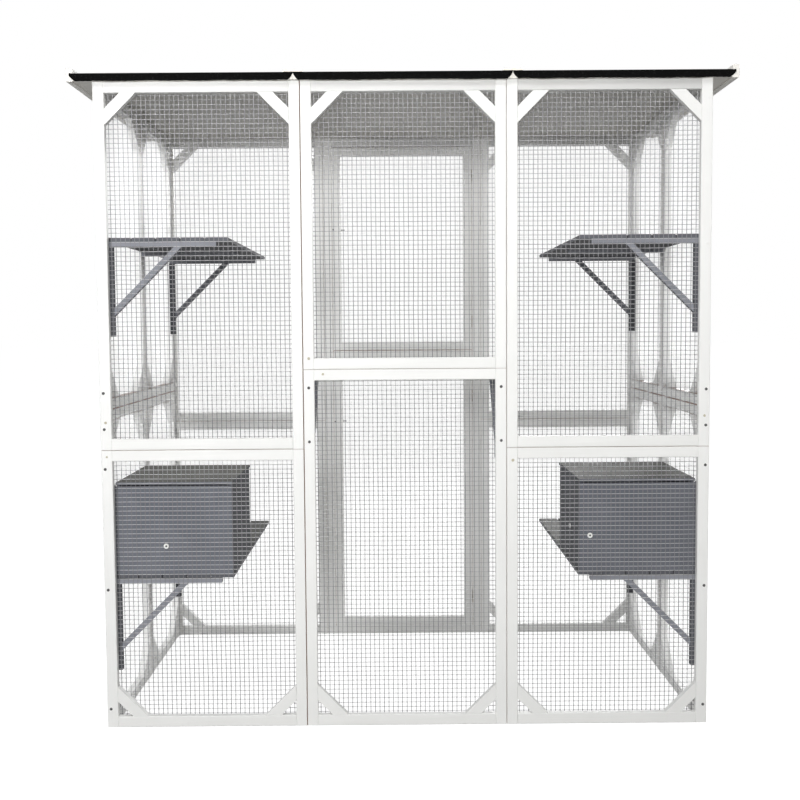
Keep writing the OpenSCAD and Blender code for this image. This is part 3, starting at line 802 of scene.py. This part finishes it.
def screw_head(shape, centre, axis, radius, height, turn):
    """Domed head with a cross recess, standing on centre along axis."""
    slot_half, slot_reach, slot_fade = 0.13, 0.62, 0.75
    rings, spokes = 9, 32
    centre = Vector(centre)
    axis = Vector(axis).normalized()
    side = Matrix.Rotation(turn, 3, axis) @ axis.orthogonal().normalized()
    up = axis.cross(side)

    def level(x, y):
        r = math.hypot(x, y)
        h = height * (1 - 0.55 * r ** 2.4)
        if min(abs(x), abs(y)) < slot_half and r < slot_reach:
            h -= height * 0.9 * (1 - r / slot_fade)
        return h

    def spoke(r, k):
        angle = 2 * math.pi * (k + 0.5) / spokes
        return r * math.cos(angle), r * math.sin(angle)

    def point(x, y, lift):
        return tuple(centre + side * x * radius + up * y * radius + axis * lift)

    domed = []
    for i in range(1, rings + 1):
        places = [spoke(i / rings, k) for k in range(spokes)]
        domed.append([point(x, y, level(x, y)) for x, y in places])
    rim = [point(*spoke(1.0, k), 0.0) for k in range(spokes)]
    shape.dome(point(0, 0, level(0, 0)), domed + [rim])


def make_screws(name, spots, radius, height, material=screw_steel, body="enclosure"):
    """spots are (point, axis) pairs."""
    shape = Shape()
    for point, axis in spots:
        screw_head(shape, point, axis, radius, height, rng.uniform(0, math.pi / 2))
    return add_object(name, shape, material, body)


SCREW_END = 52.0
SCREW_X = BODY_W / 2 - TIMBER_T / 2
BARE_ROWS = [SCREW_END, OUTER_SPLIT / 2, OUTER_SPLIT - SCREW_END, SIDE_SPLIT - SCREW_END, SIDE_SPLIT + 47.0]
PAINTED_ROWS = [(SIDE_SPLIT + BODY_H) / 2, BODY_H - SCREW_END]
BRACKET_X, BRACKET_ROWS = 263, (942.8, 794.8)
STILE_ROWS = [88, SIDE_SPLIT - 105, SIDE_SPLIT + 84, BODY_H - 82]
STILE_FACES = [(-TIMBER_W, -1), (SIDE_END - TIMBER_W, -1), (TIMBER_W - SIDE_END, 1)]
LATCH_X = -242.5
LATCH_ROWS = (("upper", 1451.0), ("lower", 770.0))


def row_spots(rows):
    """Spots on the outer stiles of both long walls."""
    return [((side * SCREW_X, y * BODY_D / 2, z), (0, y, 0))
            for side in (-1, 1) for z in rows for y in (-1, 1)]


bracket_spots = [((side * BRACKET_X, NEAR_Y, z), (0, -1, 0)) for side in (-1, 1) for z in BRACKET_ROWS]
screws = make_screws("panel_screws", row_spots(BARE_ROWS) + bracket_spots, 4.0, 1.1)
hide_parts("wall_screws")
make_screws("painted_screws", row_spots(PAINTED_ROWS), 4.0, 1.1, white_x)
stile_spots = [((side * SCREW_X, y, z), (0, way, 0))
               for side in (-1, 1) for z in STILE_ROWS for y, way in STILE_FACES]
make_screws("stile_screws", stile_spots, 4.2, 1.3)
for door, height in LATCH_ROWS:
    make_screws(door + "_latch_screw_tip", [((LATCH_X, FAR_Y - TIMBER_T, height), (0, -1, 0))], 2.9, 1.5,
                body=door + "_door")


# Filler over sunk nails

def filler_dab(shape, x, z, radius, seed):
    """Thin uneven dab on the near wall."""
    rings, spokes, lift = 4, 22, 0.35

    def point(i, k):
        angle = 2 * math.pi * k / spokes
        uneven = 1 + 0.28 * noise.noise(Vector((math.cos(angle), math.sin(angle), 5.0 * seed)))
        r = radius * i / rings * uneven
        y = NEAR_Y - lift * (1 - (i / rings) ** 2) - 0.02
        return (x + r * math.cos(angle), y, z + r * math.sin(angle))

    shape.dome((x, NEAR_Y - lift, z), [[point(i, k) for k in range(spokes)] for i in range(1, rings + 1)])


FILLER_SPOTS = [(-820, 851, 3.6), (-819, 757, 3.0), (-262, 1023, 3.6), (-224, 980, 3.4), (295, 740, 4.0),
                (820, 859, 3.6)]
dabs = Shape()
for seed, (x, z, radius) in enumerate(FILLER_SPOTS):
    filler_dab(dabs, x, z, radius, seed)
add_object("filler_dabs", dabs, filler, "enclosure", smooth=True)


# White cups on the boxes

CUP_PROFILE = [(2.6, 1.5), (3.4, 1.9), (4.6, 2.8), (5.4, 3.0), (6.3, 2.7), (7.2, 1.5), (7.5, 0.0)]
CUP_WELL = 1.5
CUP_Y = NEAR_Y + TIMBER_T - 0.2
CUPS = [((-665, CUP_Y, 505), (0, -1, 0)), ((511, CUP_Y, 526), (0, -1, 0)), ((482, -292, 524), (-1, 0, 0))]


def cup(shape, centre, axis):
    """Round washer with a rolled rim and a sunk middle."""
    spokes = 40
    centre = Vector(centre)
    axis = Vector(axis).normalized()
    side = axis.orthogonal().normalized()
    up = axis.cross(side)

    def point(r, lift, k):
        angle = 2 * math.pi * k / spokes
        return tuple(centre + side * math.cos(angle) * r + up * math.sin(angle) * r + axis * lift)

    rings = [[point(r, lift, k) for k in range(spokes)] for r, lift in CUP_PROFILE]
    shape.dome(tuple(centre + axis * CUP_WELL), rings)


cups = Shape()
for point, axis in CUPS:
    cup(cups, point, axis)
cup_washers = add_object("box_cup_washers", cups, cup_white, "enclosure", smooth=True)
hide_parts("hideaway_screw_cups")
cup_screws = [(tuple(Vector(p) + (CUP_WELL - 0.1) * Vector(a)), a) for p, a in CUPS]
make_screws("box_cup_screws", cup_screws, 2.5, 0.8)


# Dark strips closing the slit between each box and the side wall, as painted shade for the stile's shadow
# there

STRIP_X, STRIP_Y, STRIP_Z = (802.0, 813.6), (-455.6, -452.8), (424.4, 676.0)
STRIP_EASE = 0.6


def board(shape, x_span, y_span, z_span, ease):
    """Board with eased upright edges."""
    (x0, x1), (y0, y1) = x_span, y_span
    outline = [(x0 + ease, y0), (x1 - ease, y0), (x1, y0 + ease), (x1, y1 - ease),
               (x1 - ease, y1), (x0 + ease, y1), (x0, y1 - ease), (x0, y0 + ease)]
    shape.tube([[(x, y, z) for x, y in outline] for z in z_span])


slit_shade_strips = Shape()
for side in (-1, 1):
    board(slit_shade_strips, sorted(side * x for x in STRIP_X), STRIP_Y, STRIP_Z, STRIP_EASE)
add_object("box_slit_shade_strips", slit_shade_strips, slate_bracket, "enclosure")


# Lamps, in metres, watts and degrees

def lamp(name, place, aim, size, power, spread, colour=(1, 1, 1)):
    data = bpy.data.lights.new(name, "AREA")
    data.shape = "RECTANGLE"
    data.size, data.size_y = size
    data.energy = power
    data.spread = math.radians(spread)
    data.color = colour
    obj = bpy.data.objects.new(name, data)
    obj.location = place
    obj.rotation_euler = (Vector(aim) - Vector(place)).to_track_quat("-Z", "Y").to_euler()
    bpy.context.scene.collection.objects.link(obj)


lamp("key", (-2.1, -6.2, 1.85), (-0.4, 0, 1.45), (2.4, 1.6), 57, 95, (0.985, 0.99, 1.0))
lamp("fill", (1.5, -6.2, 1.85), (-0.2, 0, 1.45), (2.2, 1.6), 24, 95, (1.0, 0.99, 0.955))
lamp("front_top", (-1.0, -2.8, 4.8), (-0.3, -0.2, 1.2), (2.6, 1.0), 32, 110)
lamp("top", (0, 0.4, 4.6), (0, 0, 0), (3.5, 2.5), 20, 180)
lamp("back", (1.8, 6.4, 2.7), (0.2, 0, 0.9), (2.4, 1.2), 36, 95)
for side, name in ((-1, "left_side"), (1, "right_side")):
    lamp(name, (side * 5.4, 1.6, 2.6), (side * 0.8, 0, 0.9), (1.6, 1.6), 10, 70)


# World and floor: white to the eye, and dimmer for the light that they give the object

WORLD_LIGHT = 0.19
FLOOR_BOUNCE = (0.19, 0.19, 0.18, 1)
FLOOR_SHOWN = grey(0.30)
FLOOR_GLOW = 0.945
FLOOR_HALF = 60
FLOOR_DROP = 0.0005


def seen_directly(nodes, links):
    """1 for camera, glossy and transmission rays."""
    path = nodes.new("ShaderNodeLightPath")
    total = path.outputs["Is Camera Ray"]
    for key in ("Is Glossy Ray", "Is Transmission Ray"):
        node = nodes.new("ShaderNodeMath")
        node.operation = "MAXIMUM"
        links.new(total, node.inputs[0])
        links.new(path.outputs[key], node.inputs[1])
        total = node.outputs[0]
    return total


def light_world():
    world = bpy.data.worlds.new("studio")
    bpy.context.scene.world = world
    world.use_nodes = True
    nodes, links = world.node_tree.nodes, world.node_tree.links
    nodes.clear()
    out = nodes.new("ShaderNodeOutputWorld")
    background = nodes.new("ShaderNodeBackground")
    background.inputs["Color"].default_value = (1, 1, 1, 1)
    strength = nodes.new("ShaderNodeMix")
    strength.data_type = "FLOAT"
    strength.inputs[2].default_value = WORLD_LIGHT
    strength.inputs[3].default_value = 1.0
    links.new(seen_directly(nodes, links), strength.inputs[0])
    links.new(strength.outputs[0], background.inputs["Strength"])
    links.new(background.outputs[0], out.inputs["Surface"])


def floor_material():
    """Glows to white for the camera, but keeps a diffuse share that shows the object's shadow."""
    mat = bpy.data.materials.new("pale_floor")
    mat.use_nodes = True
    nodes, links = mat.node_tree.nodes, mat.node_tree.links
    nodes.clear()
    out = nodes.new("ShaderNodeOutputMaterial")
    bounce = nodes.new("ShaderNodeBsdfDiffuse")
    bounce.inputs["Color"].default_value = FLOOR_BOUNCE
    shown = nodes.new("ShaderNodeBsdfDiffuse")
    shown.inputs["Color"].default_value = FLOOR_SHOWN
    glow = nodes.new("ShaderNodeEmission")
    glow.inputs["Strength"].default_value = FLOOR_GLOW
    both = nodes.new("ShaderNodeAddShader")
    pick = nodes.new("ShaderNodeMixShader")
    links.new(shown.outputs[0], both.inputs[0])
    links.new(glow.outputs[0], both.inputs[1])
    links.new(seen_directly(nodes, links), pick.inputs[0])
    links.new(bounce.outputs[0], pick.inputs[1])
    links.new(both.outputs[0], pick.inputs[2])
    links.new(pick.outputs[0], out.inputs["Surface"])
    return mat


light_world()
floor_mesh = bpy.data.meshes.new("floor")
floor_corners = [(x * FLOOR_HALF, y * FLOOR_HALF, 0) for x, y in ((-1, -1), (1, -1), (1, 1), (-1, 1))]
floor_mesh.from_pydata(floor_corners, [], [(0, 1, 2, 3)])
floor_mesh.materials.append(floor_material())
floor = bpy.data.objects.new("floor", floor_mesh)
floor.location.z = -FLOOR_DROP
bpy.context.scene.collection.objects.link(floor)


# Camera, fitted to the walls in the photograph

PICTURE_PX, FOCAL_PX = 800.0, 1120.0
SENSOR = 36.0
CAMERA_PLACE = (-0.0230, -3.5345, 1.1108)
CAMERA_ANGLES = (0.172, 3.797, -0.4165)

yaw, pitch, roll = (math.radians(angle) for angle in CAMERA_ANGLES)
forward = Vector((math.sin(yaw) * math.cos(pitch), math.cos(yaw) * math.cos(pitch), -math.sin(pitch)))
right = Vector((math.cos(yaw), -math.sin(yaw), 0))
up = right.cross(forward)
camera_x = right * math.cos(roll) + up * math.sin(roll)
camera_y = up * math.cos(roll) - right * math.sin(roll)
camera_data = bpy.data.cameras.new("camera")
camera_data.sensor_width = SENSOR
camera_data.lens = FOCAL_PX / PICTURE_PX * SENSOR
camera = bpy.data.objects.new("camera", camera_data)
turn = Matrix((camera_x, camera_y, -forward)).transposed().to_4x4()
camera.matrix_world = Matrix.Translation(Vector(CAMERA_PLACE)) @ turn
bpy.context.scene.collection.objects.link(camera)
bpy.context.scene.camera = camera

bpy.context.scene.view_settings.view_transform = "Standard"
